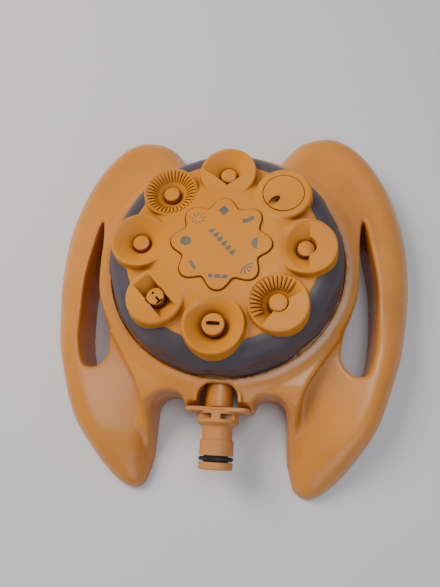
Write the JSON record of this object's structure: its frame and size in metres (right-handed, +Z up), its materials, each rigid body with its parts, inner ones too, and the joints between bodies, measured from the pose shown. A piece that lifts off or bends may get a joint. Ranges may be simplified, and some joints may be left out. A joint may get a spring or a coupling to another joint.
{
  "type": "lawn sprinkler",
  "caption": "Stationary dial sprinkler: two-winged ground base, turning lobed nozzle plate with a different spray cup on each lobe, quick-connect hose spigot.",
  "frame": {"origin": "middle of the footprint, on the ground plane", "axes": "+Z up along the dial's spindle, +Y away from the hose connector, +X to the right seen from the connector side"},
  "size_m": [0.1926, 0.2006, 0.0503],
  "materials": {
    "orange_plastic": "satin moulded, slightly faded",
    "charcoal_plastic": "satin",
    "grey_plastic": "satin",
    "rubber": "smooth",
    "steel": "bright zinc"
  },
  "bodies": {
    "base": {"hub_shell": "orange_plastic", "horn_right": "orange_plastic", "horn_left": "orange_plastic", "leg_right": "orange_plastic", "leg_left": "orange_plastic", "water_tube": "orange_plastic", "hose_connector": "orange_plastic", "connector_o_ring": "rubber", "inlet_o_ring": "rubber", "tube_screw_left": "steel", "tube_screw_right": "steel", "spindle_washer": "steel", "spindle_screw": "steel", "seal_spring": "steel", "detent_spring": "steel"},
    "turret": {"dial_skirt": "charcoal_plastic", "port_disc": "grey_plastic", "nozzle_plate": "orange_plastic", "jet_disc": "orange_plastic", "pin_right": "orange_plastic", "pin_top": "orange_plastic", "pin_top_left": "orange_plastic", "pin_left": "orange_plastic", "pin_bottom_right": "orange_plastic", "fan_post": "orange_plastic", "jet_barrel": "orange_plastic", "centre_cap": "orange_plastic"},
    "seal": {"outlet_seal": "rubber"},
    "plunger": {"detent_plunger": "grey_plastic"}
  },
  "joints": [
    {"name": "dial_turn", "type": "hinge", "parent": "base", "child": "turret", "pos_m": [0, 0.011, 0.043], "axis": [0, 0, 1], "continuous": true},
    {"name": "seal_press", "type": "slide", "parent": "base", "child": "seal", "axis": [0, 0, 1], "range_m": [-0.0008, 0], "stiffness_N_per_m": 300, "deforming": ["seal_spring"]},
    {"name": "plunger_press", "type": "slide", "parent": "base", "child": "plunger", "axis": [0, 0, 1], "range_m": [-0.0012, 0], "stiffness_N_per_m": 600, "deforming": ["detent_spring"]}
  ]
}
